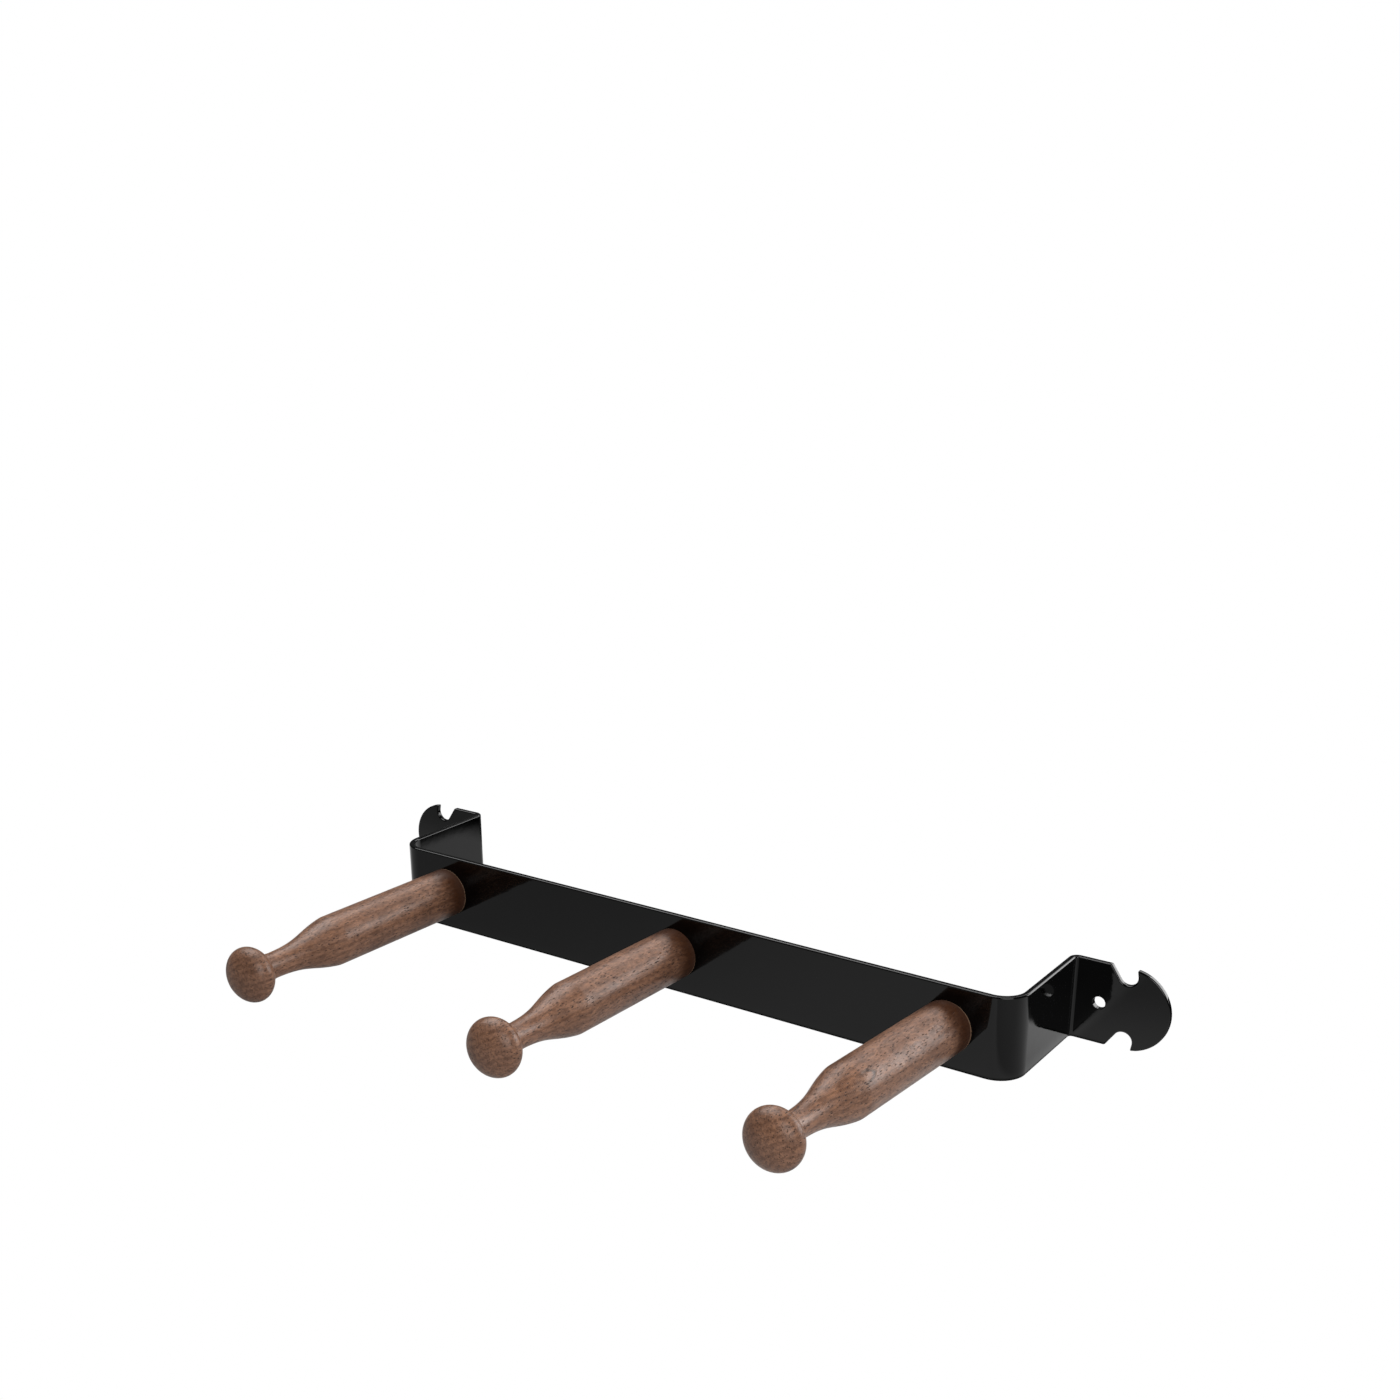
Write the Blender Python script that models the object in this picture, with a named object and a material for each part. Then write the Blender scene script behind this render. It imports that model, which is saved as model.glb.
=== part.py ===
"""Wall rail with three turned pegs, modelled as its separate pieces.

Frame: the wall is the plane Y = 0, +Y points into it, +X runs along the rail and +Z is up. The
origin is the middle of the wall plane, at the rail's mid-height. The pegs point towards -Y.
"""
import math

import bmesh
import bpy
from mathutils import Vector

# Driving dimensions, in metres and degrees.
BAR_HEIGHT = 0.040
BAR_THICKNESS = 0.003
BAR_EDGE_ROUNDING = 0.0007
RAIL_WIDTH = 0.359          # over the outsides of the two legs
RAIL_DEPTH = 0.065          # wall to the rail's front face
FRONT_BEND_RADIUS = 0.0135  # outside of the bend
WALL_BEND_RADIUS = 0.0015   # inside of the bend

END_CENTRE_X = 0.2055       # centre of each end's full round
END_RADIUS = BAR_HEIGHT / 2
NOTCH_CORNER_X = 0.1963     # where the straight edge turns down into the notch
NOTCH_CENTRE = (0.2045, 0.0160)
NOTCH_RADIUS = 0.0045
NOTCH_TIP_X = 0.2084        # the point of the hook, on the end's round
WALL_HOLE_X = 0.192
WALL_HOLE_RADIUS = 0.003

PEG_SPACING = 0.1462
PEG_RADIUS = 0.0126
PEG_SHOULDER = 0.0850       # distances along a peg, from the rail's front face
PEG_NECK_START = 0.1233
PEG_NECK_RADIUS = 0.0062
PEG_COLLAR_RADIUS = 0.0068
KNOB_RADIUS = 0.0134
KNOB_WIDEST = 0.1366
PEG_LENGTH = 0.1453
KNOB_BACK = 0.0086          # half-length of the knob's back, were it a full ellipse
# Name, place along the rail, lean upwards and lean to the right: the pegs are fitted by hand.
PEGS = (
    ("left", -PEG_SPACING, 1.0, 1.0),
    ("middle", 0.0, 2.5, 2.0),
    ("right", PEG_SPACING, 2.5, -1.2),
)

CLEARANCE = 0.0003          # gap between faces that touch
SCREW_RADIUS = 0.003
SCREW_LENGTH = 0.016
SCREW_HEAD_RADIUS = 0.0054
SCREW_HEAD_HEIGHT = 0.0033
SCREW_SOCKET_WIDTH = 0.004
SCREW_SOCKET_DEPTH = 0.002
WASHER_RADIUS = 0.006
WASHER_THICKNESS = 0.0016
INSERT_RADIUS = 0.0045
INSERT_LENGTH = 0.013
INSERT_SETBACK = 0.0008     # from the rail's front face

# Sides of round shapes.
PEG_SIDES = 36
HARDWARE_SIDES = 24
FRONT_BEND_STEPS = 9
WALL_BEND_STEPS = 5
END_STEPS = 22
NOTCH_STEPS = 12

HOLE_RADIUS = SCREW_RADIUS + CLEARANCE
RAIL_BACK_Y = -RAIL_DEPTH + BAR_THICKNESS
WASHER_BACK_Y = RAIL_BACK_Y + CLEARANCE + WASHER_THICKNESS
SCREW_SEAT_Y = WASHER_BACK_Y + CLEARANCE


def material(name, colour, roughness, metallic=0.0):
    """Make a plain Principled material."""
    finish = bpy.data.materials.new(name)
    finish.use_nodes = True
    shader = finish.node_tree.nodes["Principled BSDF"]
    shader.inputs["Base Color"].default_value = (*colour, 1.0)
    shader.inputs["Roughness"].default_value = roughness
    shader.inputs["Metallic"].default_value = metallic
    return finish


def arc(centre, radius, start, end, steps):
    """Points along an arc from start to end, in degrees, both ends included."""
    angles = [math.radians(start + (end - start) * i / steps) for i in range(steps + 1)]
    return [(centre[0] + radius * math.cos(a), centre[1] + radius * math.sin(a)) for a in angles]


def angle_to(centre, point):
    """Direction from centre to point, in degrees."""
    return math.degrees(math.atan2(point[1] - centre[1], point[0] - centre[0]))


def tangent_angle(centre, radius, point, side):
    """Direction of the place where a line from point touches a circle, on the given side."""
    reach = math.hypot(point[0] - centre[0], point[1] - centre[1])
    return angle_to(centre, point) + side * math.degrees(math.acos(radius / reach))


def mirrored(points):
    """A right-hand half outline followed by its left-hand mirror image, as one closed loop."""
    return points + [(-x, y) for x, y in reversed(points)]


def add_object(name, mesh, finish=None):
    """Link a mesh into the scene as an object."""
    obj = bpy.data.objects.new(name, mesh)
    bpy.context.scene.collection.objects.link(obj)
    if finish:
        mesh.materials.append(finish)
    return obj


def finished_mesh(name, bm):
    """Turn a bmesh into a mesh with outward faces, smooth where it is round."""
    bmesh.ops.recalc_face_normals(bm, faces=bm.faces)
    mesh = bpy.data.meshes.new(name)
    bm.to_mesh(mesh)
    bm.free()
    mesh.shade_smooth()
    mesh.set_sharp_from_angle(angle=math.radians(30))
    return mesh


def extruded(name, outline, depth_axis, low, high):
    """Extrude a closed outline along Y (outline in X, Z) or along Z (outline in X, Y)."""
    bm = bmesh.new()
    if depth_axis == "Y":
        corners = [bm.verts.new((x, low, z)) for x, z in outline]
        travel = Vector((0, high - low, 0))
    else:
        corners = [bm.verts.new((x, y, low)) for x, y in outline]
        travel = Vector((0, 0, high - low))
    face = bm.faces.new(corners)
    result = bmesh.ops.extrude_face_region(bm, geom=[face])
    moved = [item for item in result["geom"] if isinstance(item, bmesh.types.BMVert)]
    bmesh.ops.translate(bm, verts=moved, vec=travel)
    return finished_mesh(name, bm)


def turned(name, outline, sides, closed=False):
    """Spin an outline of (radius, height) points about local Z."""
    bm = bmesh.new()
    points = [bm.verts.new((radius, 0, height)) for radius, height in outline]
    edges = [bm.edges.new(pair) for pair in zip(points, points[1:])]
    if closed:
        edges.append(bm.edges.new((points[-1], points[0])))
    bmesh.ops.spin(bm, geom=points + edges, axis=(0, 0, 1), cent=(0, 0, 0),
                   angle=math.tau, steps=sides, use_merge=True)
    bmesh.ops.remove_doubles(bm, verts=bm.verts, dist=0.00001)
    return finished_mesh(name, bm)


def boolean(target, cutter, operation="DIFFERENCE"):
    """Cut target with a cutter that stays in the scene as a hidden guide."""
    cutter.hide_render = True
    cutter.display_type = "WIRE"
    cut = target.modifiers.new(cutter.name, "BOOLEAN")
    cut.operation = operation
    cut.solver = "EXACT"
    cut.object = cutter


def cylinder_cutter(name, radius, x, y_from, y_to, sides=HARDWARE_SIDES):
    """A round cutter along Y at mid-height."""
    outline = [(x + px, pz) for px, pz in arc((0, 0), radius, 0, 360, sides)[:-1]]
    return add_object(name, extruded(name, outline, "Y", y_from, y_to))


def bent_bar_section():
    """The bar seen from above, right half: outer side from the middle out, inner side back."""
    leg_x = RAIL_WIDTH / 2
    front_centre = (leg_x - FRONT_BEND_RADIUS, -RAIL_DEPTH + FRONT_BEND_RADIUS)
    wall_centre = (leg_x + WALL_BEND_RADIUS, -BAR_THICKNESS - WALL_BEND_RADIUS)
    overrun_x = END_CENTRE_X + 2 * END_RADIUS
    outer = arc(front_centre, FRONT_BEND_RADIUS, -90, 0, FRONT_BEND_STEPS)
    outer += arc(wall_centre, WALL_BEND_RADIUS, 180, 90, WALL_BEND_STEPS)
    outer.append((overrun_x, -BAR_THICKNESS))
    inner = [(overrun_x, 0)]
    inner += arc(wall_centre, WALL_BEND_RADIUS + BAR_THICKNESS, 90, 180, WALL_BEND_STEPS)
    inner += arc(front_centre, FRONT_BEND_RADIUS - BAR_THICKNESS, 0, -90, FRONT_BEND_STEPS)
    return outer, inner


def bent_bar():
    """The bent bar before its ends are profiled, taller than the finished one."""
    outer, inner = bent_bar_section()
    left_inner = [(-x, y) for x, y in reversed(inner)]
    left_outer = [(-x, y) for x, y in reversed(outer)]
    return extruded("rail", outer + inner + left_inner + left_outer, "Z",
                    -BAR_HEIGHT, BAR_HEIGHT)


def end_profile():
    """The bar's front outline, right half, from its top edge round to its bottom edge."""
    corner = (NOTCH_CORNER_X, BAR_HEIGHT / 2)
    tip_height = math.sqrt(END_RADIUS ** 2 - (NOTCH_TIP_X - END_CENTRE_X) ** 2)
    tip = (NOTCH_TIP_X, tip_height)
    notch_start = tangent_angle(NOTCH_CENTRE, NOTCH_RADIUS, corner, 1)
    notch_end = tangent_angle(NOTCH_CENTRE, NOTCH_RADIUS, tip, -1) + 360
    tip_angle = angle_to((END_CENTRE_X, 0), tip)
    notch = arc(NOTCH_CENTRE, NOTCH_RADIUS, notch_start, notch_end, NOTCH_STEPS)
    upper = [corner] + notch
    lower = [(x, -z) for x, z in reversed(upper)]
    return upper + arc((END_CENTRE_X, 0), END_RADIUS, tip_angle, -tip_angle, END_STEPS) + lower


def build_rail(finish):
    """One flat bar, bent, profiled at both ends, drilled and rounded along its edges."""
    rail = add_object("rail", bent_bar(), finish)
    overrun = BAR_HEIGHT / 4
    outline = extruded("rail_outline", mirrored(end_profile()), "Y",
                       -RAIL_DEPTH - overrun, overrun)
    boolean(rail, add_object("rail_outline", outline), "INTERSECT")
    for side, x in (("left", -WALL_HOLE_X), ("right", WALL_HOLE_X)):
        boolean(rail, cylinder_cutter("wall_hole_" + side, WALL_HOLE_RADIUS, x,
                                      -2 * BAR_THICKNESS, BAR_THICKNESS))
    for side, x, _, _ in PEGS:
        boolean(rail, cylinder_cutter("peg_hole_" + side, HOLE_RADIUS, x,
                                      -RAIL_DEPTH - BAR_THICKNESS, RAIL_BACK_Y + BAR_THICKNESS))
    rounding = rail.modifiers.new("edge_rounding", "BEVEL")
    rounding.width = BAR_EDGE_ROUNDING
    rounding.segments = 2
    rounding.limit_method = "ANGLE"
    rounding.angle_limit = math.radians(40)


def taper(steps=8):
    """The peg from its shoulder to its neck: a cubic curve that leaves the shoulder at a slant."""
    fall = PEG_RADIUS - PEG_NECK_RADIUS
    run = PEG_NECK_START - PEG_SHOULDER
    start = Vector((PEG_RADIUS, PEG_SHOULDER))
    start_handle = Vector((PEG_RADIUS - 0.36 * fall, PEG_SHOULDER + 0.41 * run))
    end_handle = Vector((PEG_NECK_RADIUS, PEG_NECK_START - 0.53 * run))
    end = Vector((PEG_NECK_RADIUS, PEG_NECK_START))
    points = []
    for i in range(steps + 1):
        t = i / steps
        points.append((1 - t) ** 3 * start + 3 * (1 - t) ** 2 * t * start_handle
                      + 3 * (1 - t) * t ** 2 * end_handle + t ** 3 * end)
    return [tuple(point) for point in points]


def knob(steps=6):
    """The knob from the collar to the tip: a short elliptical back and a domed front."""
    back_angle = math.acos(PEG_COLLAR_RADIUS / KNOB_RADIUS)
    front = PEG_LENGTH - KNOB_WIDEST
    back = []
    dome = []
    for i in range(steps):
        angle = back_angle * (1 - i / steps)
        back.append((KNOB_RADIUS * math.cos(angle), KNOB_WIDEST - KNOB_BACK * math.sin(angle)))
    for i in range(steps + 1):
        angle = math.pi / 2 * i / steps
        dome.append((KNOB_RADIUS * math.cos(angle), KNOB_WIDEST + front * math.sin(angle)))
    dome[-1] = (0, PEG_LENGTH)
    return back + dome


def build_peg(side, x, lean_up, lean_right, finish):
    """A turned peg, cut flat where it meets the rail and bored for its insert."""
    spare = BAR_THICKNESS
    outline = [(0, -spare), (PEG_RADIUS, -spare)] + taper() + knob()
    name = "peg_" + side
    peg = add_object(name, turned(name, outline[::-1], PEG_SIDES), finish)
    up, right = math.radians(lean_up), math.radians(lean_right)
    direction = Vector((math.sin(right) * math.cos(up), -math.cos(right) * math.cos(up), math.sin(up)))
    peg.location = (x, -RAIL_DEPTH, 0)
    peg.rotation_euler = direction.to_track_quat("Z", "Y").to_euler()

    reach = 2 * PEG_RADIUS
    face_y = -RAIL_DEPTH - CLEARANCE
    square = [(x - reach, -reach), (x + reach, -reach), (x + reach, reach), (x - reach, reach)]
    trim = extruded(name + "_trim", square, "Y", face_y, face_y + reach)
    boolean(peg, add_object(name + "_trim", trim))
    bore_end = -RAIL_DEPTH - INSERT_SETBACK - INSERT_LENGTH - 2 * CLEARANCE
    boolean(peg, cylinder_cutter(name + "_bore", INSERT_RADIUS + CLEARANCE, x,
                                 bore_end, -RAIL_DEPTH + spare))


def along_rail(obj, x, y):
    """Point a turned piece's local +Z to the wall, with its height zero at y."""
    obj.location = (x, y, 0)
    obj.rotation_euler = (-math.pi / 2, 0, 0)


def build_insert(side, x, finish):
    """A threaded insert in the peg's end, its thread left plain."""
    outline = [(HOLE_RADIUS, 0), (INSERT_RADIUS, 0), (INSERT_RADIUS, INSERT_LENGTH),
               (HOLE_RADIUS, INSERT_LENGTH)]
    name = "insert_" + side
    insert = add_object(name, turned(name, outline, HARDWARE_SIDES, closed=True), finish)
    along_rail(insert, x, -RAIL_DEPTH - INSERT_SETBACK - INSERT_LENGTH)


def build_washer(side, x, finish):
    """A plain washer against the rail's back face."""
    outline = [(HOLE_RADIUS, 0), (WASHER_RADIUS, 0), (WASHER_RADIUS, WASHER_THICKNESS),
               (HOLE_RADIUS, WASHER_THICKNESS)]
    name = "washer_" + side
    washer = add_object(name, turned(name, outline, HARDWARE_SIDES, closed=True), finish)
    along_rail(washer, x, RAIL_BACK_Y + CLEARANCE)


def build_screw(side, x, finish):
    """A button-head machine screw with a hexagon socket, its thread left plain."""
    tip_chamfer = SCREW_RADIUS / 5
    crown = SCREW_HEAD_RADIUS * 0.6
    outline = [(0, -SCREW_LENGTH), (SCREW_RADIUS - tip_chamfer, -SCREW_LENGTH),
               (SCREW_RADIUS, -SCREW_LENGTH + tip_chamfer), (SCREW_RADIUS, 0),
               (SCREW_HEAD_RADIUS, 0), (SCREW_HEAD_RADIUS, SCREW_HEAD_HEIGHT * 0.3),
               (SCREW_HEAD_RADIUS * 0.88, SCREW_HEAD_HEIGHT * 0.72), (crown, SCREW_HEAD_HEIGHT),
               (0, SCREW_HEAD_HEIGHT)]
    name = "screw_" + side
    screw = add_object(name, turned(name, outline, HARDWARE_SIDES), finish)
    along_rail(screw, x, SCREW_SEAT_Y)
    head_y = SCREW_SEAT_Y + SCREW_HEAD_HEIGHT
    corner_radius = SCREW_SOCKET_WIDTH / math.sqrt(3)
    boolean(screw, cylinder_cutter(name + "_socket", corner_radius, x,
                                   head_y - SCREW_SOCKET_DEPTH, head_y + SCREW_SOCKET_DEPTH, 6))


def main():
    """Clear the scene and build every piece."""
    for obj in list(bpy.data.objects):
        bpy.data.objects.remove(obj, do_unlink=True)
    build_rail(material("black_gloss_paint", (0.012, 0.012, 0.013), 0.15))
    wood = material("dark_turned_wood", (0.16, 0.075, 0.05), 0.45)
    brass = material("insert_brass", (0.62, 0.44, 0.18), 0.35, 1.0)
    steel = material("zinc_plated_steel", (0.55, 0.56, 0.58), 0.35, 1.0)
    for side, x, lean_up, lean_right in PEGS:
        build_peg(side, x, lean_up, lean_right, wood)
        build_insert(side, x, brass)
        build_washer(side, x, steel)
        build_screw(side, x, steel)


main()
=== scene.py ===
"""Looks for a bent-bar wall rail with three turned pegs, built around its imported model.

Frame: the wall is the plane Y = 0, +X runs along the rail, +Z is up, the pegs point towards -Y.
"""

import math

import bpy
from mathutils import Matrix, Vector


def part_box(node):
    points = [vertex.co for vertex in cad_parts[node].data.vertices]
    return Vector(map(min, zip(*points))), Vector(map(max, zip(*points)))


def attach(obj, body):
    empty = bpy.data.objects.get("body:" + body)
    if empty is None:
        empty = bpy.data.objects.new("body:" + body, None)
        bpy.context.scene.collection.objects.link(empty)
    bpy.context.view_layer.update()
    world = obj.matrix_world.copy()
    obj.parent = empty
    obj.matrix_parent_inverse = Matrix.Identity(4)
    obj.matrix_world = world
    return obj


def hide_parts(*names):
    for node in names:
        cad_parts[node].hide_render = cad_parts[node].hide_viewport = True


bl_info = {
    "name": "Wall Rail With Turned Pegs",
    "version": (1, 0, 0),
    "blender": (4, 5, 0),
    "location": "3D View > Sidebar > Wall Rail",
    "description": "Models and finishes a painted bent-bar wall rail with three turned pegs",
    "category": "Object",
}

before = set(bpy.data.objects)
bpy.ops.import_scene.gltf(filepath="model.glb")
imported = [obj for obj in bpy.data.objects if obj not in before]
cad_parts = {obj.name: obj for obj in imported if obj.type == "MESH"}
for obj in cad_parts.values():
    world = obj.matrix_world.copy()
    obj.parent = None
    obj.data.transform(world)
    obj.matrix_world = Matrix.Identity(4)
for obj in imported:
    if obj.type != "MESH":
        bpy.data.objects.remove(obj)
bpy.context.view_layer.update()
RAIL_LOW, RAIL_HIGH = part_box("rail")
WASHER_LOW, WASHER_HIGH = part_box("washer_middle")
SCREW_LOW, SCREW_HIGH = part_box("screw_middle")
INSERT_LOW, INSERT_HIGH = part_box("insert_middle")
SIDES = ("left", "middle", "right")
TOUCH = 0.00001        # points nearer than this count as one
GRAIN_STEP = 0.37      # each peg is cut this much further along the same length of wood
TIP_EDGE = 8           # degrees of a round end kept straight beside its tips, or their rounding folds


def centre_x(node):
    """Middle of a node's box along the rail."""
    low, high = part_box(node)
    return (low.x + high.x) / 2


def length_property(name, description, value):
    """A length in metres."""
    return bpy.props.FloatProperty(name=name, description=description, default=value,
                                   min=0.0, unit="LENGTH", precision=5)


def colour_property(name, description, value):
    """A linear colour."""
    return bpy.props.FloatVectorProperty(name=name, description=description, default=value,
                                         size=3, min=0.0, max=1.0, subtype="COLOR")


def angle_property(name, description, degrees):
    """Three angles, one for each peg."""
    return bpy.props.FloatVectorProperty(name=name, description=description, size=3,
                                         default=[math.radians(part) for part in degrees],
                                         unit="ROTATION")


def place_property(name, description, value):
    """A place in metres."""
    return bpy.props.FloatVectorProperty(name=name, description=description, default=value,
                                         size=3, unit="LENGTH", subtype="XYZ", precision=5)


def level_property(name, description, value):
    """A plain value of any size."""
    return bpy.props.FloatProperty(name=name, description=description, default=value)


def factor_property(name, description, value):
    """A plain value from 0 to 1."""
    return bpy.props.FloatProperty(name=name, description=description, default=value,
                                   min=0.0, max=1.0, subtype="FACTOR")


class RailSizes(bpy.types.PropertyGroup):
    """Sizes of the bent bar."""

    height: length_property("Bar height", "Height of the bar", RAIL_HIGH.z - RAIL_LOW.z)
    thickness: length_property("Bar thickness", "Thickness of the bar", 0.003)
    rounding: length_property("Edge rounding", "Radius along every painted edge", 0.0008)
    hole_rounding: length_property("Hole rounding", "Radius round the holes", 0.0003)
    width: length_property("Width", "Over the outsides of the legs", 0.359)
    depth: length_property("Depth", "Wall to front face", RAIL_HIGH.y - RAIL_LOW.y)
    front_bend: length_property("Front bend", "Outside radius of the front bends", 0.0135)
    wall_bend: length_property("Wall bend", "Inside radius of the wall bends", 0.0015)
    end_x: length_property("End centre", "Centre of each round end", RAIL_HIGH.x - 0.020)
    notch_corner: length_property("Notch corner", "Where the edge turns into the notch", 0.1963)
    notch_x: length_property("Notch centre", "Notch centre from the middle", 0.2045)
    notch_z: length_property("Notch height", "Notch centre above mid-height", 0.0160)
    notch_radius: length_property("Notch radius", "Radius of the notch's round", 0.0045)
    tip_x: length_property("Hook tip", "Distance of the hook's tip from the middle", 0.2084)
    wall_hole_x: length_property("Wall hole", "Wall hole from the middle", 0.192)
    wall_hole_radius: length_property("Wall hole radius", "Radius of the wall holes", 0.003)
    peg_hole_radius: length_property("Peg hole radius", "Radius of the peg screw holes", 0.0033)


class PegSizes(bpy.types.PropertyGroup):
    """Sizes of a turned peg, measured along it from the rail's front face."""

    radius: length_property("Shank radius", "Radius of the shank", 0.0126)
    shoulder: length_property("Shoulder", "End of the straight shank", 0.0850)
    neck_start: length_property("Neck start", "Where the taper reaches the neck", 0.1233)
    neck_radius: length_property("Neck radius", "Smallest radius", 0.0062)
    collar: length_property("Collar", "Radius where the neck meets the knob", 0.0068)
    knob_radius: length_property("Knob radius", "Largest radius of the knob", 0.0134)
    knob_widest: length_property("Knob widest", "Place of the knob's largest radius", 0.1366)
    knob_back: length_property("Knob back", "Half-length of the knob's back", 0.0086)
    length: length_property("Length", "Tip of the knob", 0.1453)
    bore_radius: length_property("Bore radius", "Radius of the bore in the foot", 0.0048)
    bore_depth: length_property("Bore depth", "Depth of the bore in the foot", 0.0144)
    leans_up: angle_property("Leans up", "Lean upwards of each peg, from left to right",
                             (1.0, 2.5, 2.5))
    leans_right: angle_property("Leans right", "Lean to the right of each peg, from left to right",
                                (1.0, 2.0, -1.2))
    knot: place_property("Knot", "Place of the small knot in the wood of the right peg",
                         (0.0086, 0.0092, 2 * GRAIN_STEP + 0.0838))


class HardwareSizes(bpy.types.PropertyGroup):
    """Sizes of the hidden screws, washers and inserts."""

    screw_radius: length_property("Screw radius", "Outside of the thread", 0.003)
    head_radius: length_property("Head radius", "Radius of the screw's head", 0.0054)
    head_height: length_property("Head height", "Height of the screw's head", 0.0033)
    socket_width: length_property("Socket width", "Across the flats of the socket", 0.004)
    socket_depth: length_property("Socket depth", "Depth of the socket", 0.002)
    washer_radius: length_property("Washer radius", "Outside of the washer", 0.006)
    washer_hole: length_property("Washer hole", "Radius of the holes for the screws", 0.0033)


class Finishes(bpy.types.PropertyGroup):
    """Colours and glosses of the finishes."""

    paint: colour_property("Paint", "Gloss black paint", (0.0005, 0.0005, 0.00055))
    paint_roughness: factor_property("Paint roughness", "Roughness of the paint", 0.025)
    wood_roughness: factor_property("Wood roughness", "Lowest roughness of the wood", 0.29)
    wood_light: colour_property("Wood, light", "Pale early wood", (0.231, 0.119, 0.075))
    wood_dark: colour_property("Wood, dark", "Dark late wood", (0.092, 0.041, 0.023))
    wood_fleck: colour_property("Wood, flecks", "Pale orange flecks", (0.300, 0.150, 0.085))
    wood_pore: colour_property("Wood, pores", "Open pores", (0.022, 0.010, 0.006))
    # painted shade: the dark brown laid on each peg's foot, where the rail shades it
    wood_foot_shade: colour_property("Wood, stain", "Stain at a peg's foot", (0.042, 0.013, 0.004))
    wood_rim: colour_property("Wood, rim", "Bare rim of a peg's foot", (0.30, 0.19, 0.12))
    dust: colour_property("Dust", "Dust on the paint", (0.10, 0.10, 0.10))
    brass: colour_property("Brass", "Insert brass", (0.62, 0.44, 0.18))
    brass_dull: colour_property("Brass, dull", "Tarnished brass", (0.33, 0.21, 0.08))
    zinc: colour_property("Zinc", "Bright zinc plating", (0.60, 0.61, 0.63))
    zinc_dull: colour_property("Zinc, dull", "Tarnished zinc", (0.33, 0.34, 0.36))


class StageSettings(bpy.types.PropertyGroup):
    """Floor, room and lights."""

    floor_tone: factor_property("Floor tone", "Grey of the floor", 0.55)
    sheen_base: level_property("Sheen, front", "Light the floor gives to glossy faces", 0.47)
    sheen_back: level_property("Sheen, back", "More of it behind the rail", 0.50)
    sheen_right: level_property("Sheen, right", "More of it to the right", 0.25)
    room: level_property("Room", "Light from the room", 0.08)
    top_power: level_property("Top softbox", "Watts of the top softbox", 15.0)
    right_power: level_property("Right softbox", "Watts of the right softbox", 11.0)
    back_power: level_property("Back softbox", "Watts of the back softbox", 3.0)
    fill_power: level_property("Front fill", "Watts of the front fill", 7.0)


# Modelling helpers ----------------------------------------

def settings(name):
    """One of the scene's groups of sizes."""
    return getattr(bpy.context.scene, name)


def set_mode(mode):
    """Change to edit mode or back to object mode."""
    bpy.ops.object.mode_set(mode=mode)


def select_mesh():
    """In edit mode, select the whole mesh."""
    bpy.ops.mesh.select_all(action="SELECT")


def deselect_all():
    """Leave edit mode and select nothing."""
    if bpy.context.object and bpy.context.object.mode == "EDIT":
        set_mode("OBJECT")
    bpy.ops.object.select_all(action="DESELECT")


def select_only(piece):
    """Select one piece and make it active."""
    deselect_all()
    piece.select_set(True)
    bpy.context.view_layer.objects.active = piece


def start_point(name, place):
    """Start a mesh as one selected vertex, in edit mode."""
    deselect_all()
    bpy.ops.mesh.primitive_plane_add(size=0.001, location=(0, 0, 0))
    piece = bpy.context.object
    piece.name = name
    piece.data.name = name
    set_mode("EDIT")
    select_mesh()
    bpy.ops.mesh.merge(type="CENTER")
    bpy.ops.transform.translate(value=place)
    return piece


def draw_line(step):
    """Extrude what is selected by a step."""
    bpy.ops.mesh.extrude_region_move(TRANSFORM_OT_translate={"value": step})


def draw_arc(centre, axis, degrees, steps):
    """Spin what is selected about an axis, by the right-hand rule (the tool turns the other way)."""
    bpy.ops.mesh.spin(steps=steps, angle=math.radians(-degrees), center=centre, axis=axis)


def weld(distance=0.000002):
    """Merge doubled vertices over the whole mesh."""
    select_mesh()
    bpy.ops.mesh.remove_doubles(threshold=distance)


def apply_modifier(piece, kind, **values):
    """Add a modifier, set it and apply it."""
    select_only(piece)
    modifier = piece.modifiers.new(kind.lower(), kind)
    for key, value in values.items():
        setattr(modifier, key, value)
    bpy.ops.object.modifier_apply(modifier=modifier.name)


def cut(piece, cutter, operation="DIFFERENCE"):
    """Apply a Boolean and remove its cutter."""
    apply_modifier(piece, "BOOLEAN", operation=operation, solver="EXACT", object=cutter)
    bpy.data.objects.remove(cutter, do_unlink=True)


def cylinder(name, radius, low, high, sides, axis="Y"):
    """A closed cylinder between two points."""
    deselect_all()
    turn = (math.pi / 2, 0, 0) if axis == "Y" else (0, 0, 0)
    bpy.ops.mesh.primitive_cylinder_add(vertices=sides, radius=radius, depth=(high - low).length,
                                        location=(low + high) / 2, rotation=turn)
    made = bpy.context.object
    made.name = name
    bpy.ops.object.transform_apply(location=True, rotation=True, scale=True)
    return made


def new_object(name, data):
    """A new object in the scene."""
    made = bpy.data.objects.new(name, data)
    bpy.context.scene.collection.objects.link(made)
    return made


def placed_copy(blank, name, matrix):
    """A copy of a blank with its own mesh, which holds its place."""
    piece = new_object(name, blank.data.copy())
    piece.data.transform(matrix)
    piece.data.update()
    return piece


def shade(piece, degrees=35):
    """Shade a piece smooth, sharp where its faces meet at more than an angle."""
    select_only(piece)
    bpy.ops.object.shade_smooth_by_angle(angle=math.radians(degrees))


def dress(piece, material, node):
    """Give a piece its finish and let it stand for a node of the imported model."""
    piece.data.materials.clear()
    piece.data.materials.append(material)
    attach(piece, "root")
    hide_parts(node)


# Bent bar -------------------------------------------------

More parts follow.
